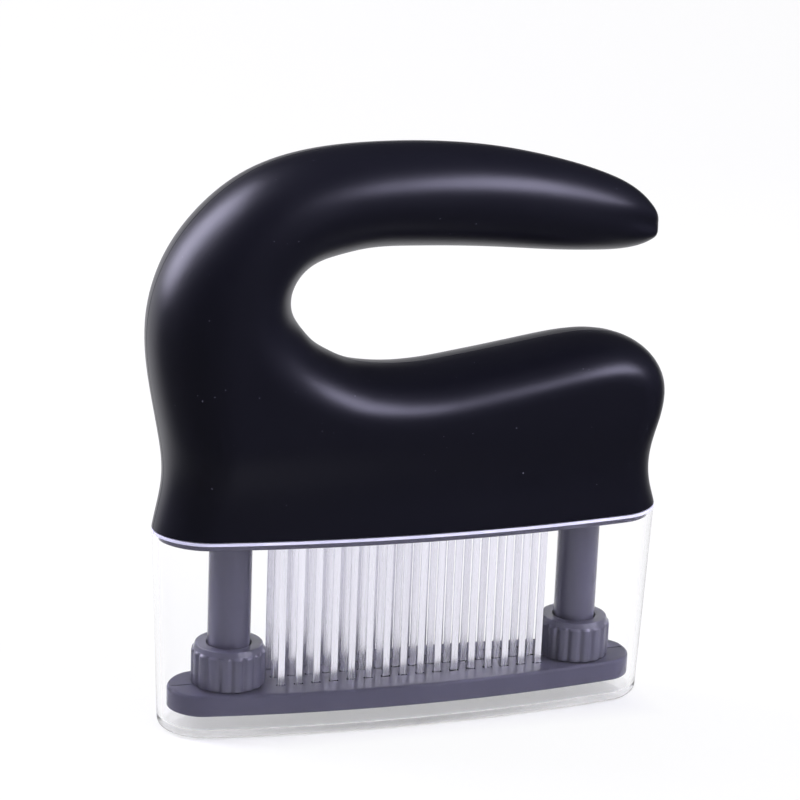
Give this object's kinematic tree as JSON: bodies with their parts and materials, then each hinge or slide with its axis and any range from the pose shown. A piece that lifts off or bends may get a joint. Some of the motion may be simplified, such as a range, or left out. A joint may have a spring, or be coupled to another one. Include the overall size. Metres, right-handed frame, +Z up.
{
  "type": "blade meat tenderizer",
  "caption": "Hand tenderizer: C-shaped black handle over rows of flat steel blades, with a sprung guard plate on two posts, quarter-turn collars and a clear pull-off cover.",
  "frame": {"origin": "middle of the flat underside of the clear cover, which the tool stands on", "axes": "+Z up, +X towards the free end of the handle's arm, -Y towards the viewer of its front"},
  "size_m": [0.1466, 0.0418, 0.1591],
  "materials": {
    "handle_black": "satin moulded",
    "mechanism_grey": "semi-gloss moulded",
    "blade_steel": "polished stainless strip",
    "fastener_steel": "plain",
    "sleeve_nylon": "natural nylon",
    "clear_plastic": "clear, polished"
  },
  "bodies": {
    "handle": {"handle_front_half": "handle_black", "handle_rear_half": "handle_black", "blade_carrier": "mechanism_grey", "blade_clamp_plate": "mechanism_grey", "front_blade_row": "blade_steel", "middle_blade_row": "blade_steel", "rear_blade_row": "blade_steel", "left_guide_sleeve": "sleeve_nylon", "right_guide_sleeve": "sleeve_nylon", "left_spring_cap": "sleeve_nylon", "right_spring_cap": "sleeve_nylon", "left_spring": "fastener_steel", "right_spring": "fastener_steel", "left_front_screw": "fastener_steel", "left_rear_screw": "fastener_steel", "right_front_screw": "fastener_steel", "right_rear_screw": "fastener_steel"},
    "guard": {"guard_plate": "mechanism_grey", "left_post": "mechanism_grey", "right_post": "mechanism_grey", "left_stop_clip": "fastener_steel", "right_stop_clip": "fastener_steel"},
    "left_collar": {"left_lock_collar": "mechanism_grey"},
    "right_collar": {"right_lock_collar": "mechanism_grey"},
    "cover": {"blade_cover": "clear_plastic"}
  },
  "joints": [
    {"name": "guard_slide", "type": "slide", "parent": "handle", "child": "guard", "axis": [0, 0, 1], "range_m": [0, 0.026], "stiffness_N_per_m": 1000, "springref_m": -0.008, "deforming": ["left_spring", "right_spring"]},
    {"name": "left_collar_turn", "type": "hinge", "parent": "guard", "child": "left_collar", "pos_m": [-0.0506, 0, 0.0181], "axis": [0, 0, 1], "range_deg": [0, 90]},
    {"name": "right_collar_turn", "type": "hinge", "parent": "guard", "child": "right_collar", "pos_m": [0.0506, 0, 0.0181], "axis": [0, 0, 1], "range_deg": [0, 90]},
    {"name": "cover_pull", "type": "slide", "parent": "handle", "child": "cover", "axis": [0, 0, -1], "range_m": [0, 0.06]}
  ]
}
